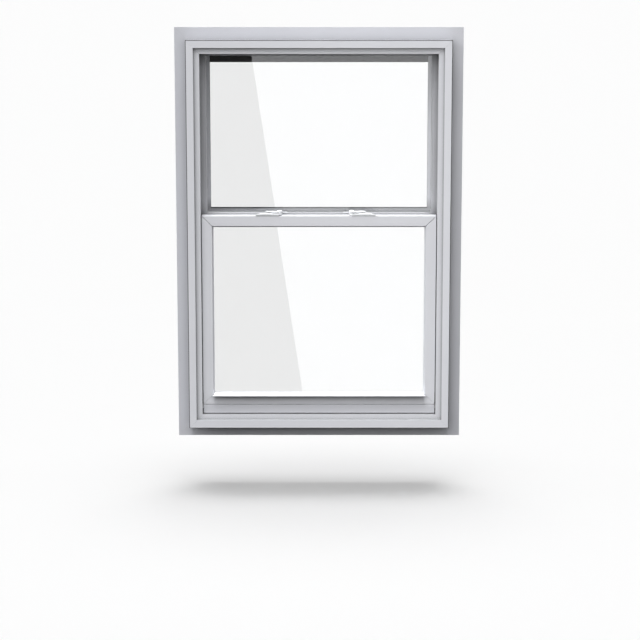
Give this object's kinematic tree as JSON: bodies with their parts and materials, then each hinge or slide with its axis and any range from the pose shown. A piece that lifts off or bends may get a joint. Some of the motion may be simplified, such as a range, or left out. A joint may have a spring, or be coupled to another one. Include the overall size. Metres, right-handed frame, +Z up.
{
  "type": "double-hung sash window",
  "caption": "White double-hung sash window with nailing fin, sliding upper and lower sashes, double glazing, lift lip, cam locks and hidden tape balances.",
  "frame": {"origin": "centre of the window in width and depth, at the level of the nailing fin's bottom edge", "axes": "+Z up the window, +Y from the room side to the outside, +X to the right seen from the room"},
  "size_m": [0.819, 0.083, 1.188],
  "materials": {
    "frame_upvc": "white extruded upvc, satin",
    "fin_upvc": "white extruded upvc, satin",
    "sash_upvc": "white extruded upvc, satin",
    "glass": "clear float glass",
    "spacer_bar": "mill finish hollow bar",
    "black_rubber": "matt black rubber and foam",
    "grey_foam": "matt grey closed-cell foam",
    "zinc_steel": "bright zinc plate",
    "spring_steel": "rolled spring strip",
    "shoe_nylon": "natural nylon",
    "lock_enamel": "white enamel on zinc casting, glossy"
  },
  "bodies": {
    "frame": {"frame_head": "frame_upvc", "frame_sill": "frame_upvc", "frame_jamb_left": "frame_upvc", "frame_jamb_right": "frame_upvc", "fin_head": "fin_upvc", "fin_sill": "fin_upvc", "fin_left": "fin_upvc", "fin_right": "fin_upvc", "frame_side_seal": "grey_foam", "coil_bracket_low_left": "zinc_steel", "coil_bracket_low_right": "zinc_steel", "coil_bracket_up_left": "zinc_steel", "coil_bracket_up_right": "zinc_steel", "coil_low_left": "spring_steel", "coil_low_right": "spring_steel", "coil_up_left": "spring_steel", "coil_up_right": "spring_steel", "tape_low_left": "spring_steel", "tape_low_right": "spring_steel", "tape_up_left": "spring_steel", "tape_up_right": "spring_steel", "bracket_screws": "zinc_steel"},
    "lower_sash": {"lower_rail_top": "sash_upvc", "lower_rail_bottom": "sash_upvc", "lower_stile_left": "sash_upvc", "lower_stile_right": "sash_upvc", "lower_pane_room": "glass", "lower_pane_outer": "glass", "lower_spacer": "spacer_bar", "lower_beads": "sash_upvc", "lower_blocks": "black_rubber", "lower_weather_bar": "sash_upvc", "lower_sill_seal": "black_rubber", "lower_interlock": "sash_upvc", "shoe_low_left": "shoe_nylon", "shoe_low_right": "shoe_nylon", "lock_left_base": "lock_enamel", "lock_left_screws": "zinc_steel", "lock_right_base": "lock_enamel", "lock_right_screws": "zinc_steel"},
    "upper_sash": {"upper_rail_top": "sash_upvc", "upper_rail_bottom": "sash_upvc", "upper_stile_left": "sash_upvc", "upper_stile_right": "sash_upvc", "upper_pane_room": "glass", "upper_pane_outer": "glass", "upper_spacer": "spacer_bar", "upper_beads": "sash_upvc", "upper_blocks": "black_rubber", "upper_glazing_tape": "black_rubber", "upper_interlock": "sash_upvc", "shoe_up_left": "shoe_nylon", "shoe_up_right": "shoe_nylon", "keeper_left": "lock_enamel", "keeper_right": "lock_enamel", "keeper_screws": "zinc_steel"},
    "lock_left": {"lock_left_lever": "lock_enamel", "lock_left_pin": "zinc_steel"},
    "lock_right": {"lock_right_lever": "lock_enamel", "lock_right_pin": "zinc_steel"}
  },
  "joints": [
    {"name": "lower_sash_slide", "type": "slide", "parent": "frame", "child": "lower_sash", "axis": [0, 0, 1], "range_m": [0, 0.38], "deforming": ["tape_low_left", "tape_low_right"]},
    {"name": "upper_sash_slide", "type": "slide", "parent": "frame", "child": "upper_sash", "axis": [0, 0, -1], "range_m": [0, 0.38], "deforming": ["tape_up_left", "tape_up_right"]},
    {"name": "lock_left_turn", "type": "hinge", "parent": "lower_sash", "child": "lock_left", "pos_m": [-0.112, -0.0085, 0.664], "axis": [0, 0, 1], "range_deg": [0, 160]},
    {"name": "lock_right_turn", "type": "hinge", "parent": "lower_sash", "child": "lock_right", "pos_m": [0.093, -0.0085, 0.664], "axis": [0, 0, 1], "range_deg": [-160, 0]}
  ]
}
